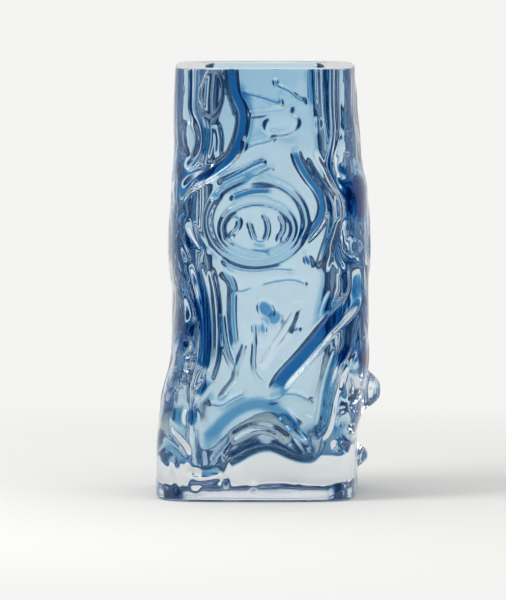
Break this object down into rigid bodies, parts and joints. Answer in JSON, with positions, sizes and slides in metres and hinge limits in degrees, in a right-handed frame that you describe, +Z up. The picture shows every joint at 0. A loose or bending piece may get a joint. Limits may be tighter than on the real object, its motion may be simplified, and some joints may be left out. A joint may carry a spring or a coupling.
{
  "type": "cased glass vase",
  "caption": "Tall square-bodied flower vase of thick clear glass over a blown blue bubble, with a gnarled bark-like surface and a heavy clear foot.",
  "frame": {"origin": "middle of the footprint's box, on the table", "axes": "+Z up toward the mouth, -Y toward the front, +X to the right seen from the front"},
  "size_m": [0.1266, 0.1112, 0.24],
  "materials": {
    "clear_glass": "clear glass with the soft fire-polished gloss of a mould-blown skin",
    "blue_glass": "transparent mid-blue glass, darker where it is thick"
  },
  "bodies": {
    "root": {"clear_casing": "clear_glass", "blue_lining": "blue_glass"}
  },
  "joints": []
}
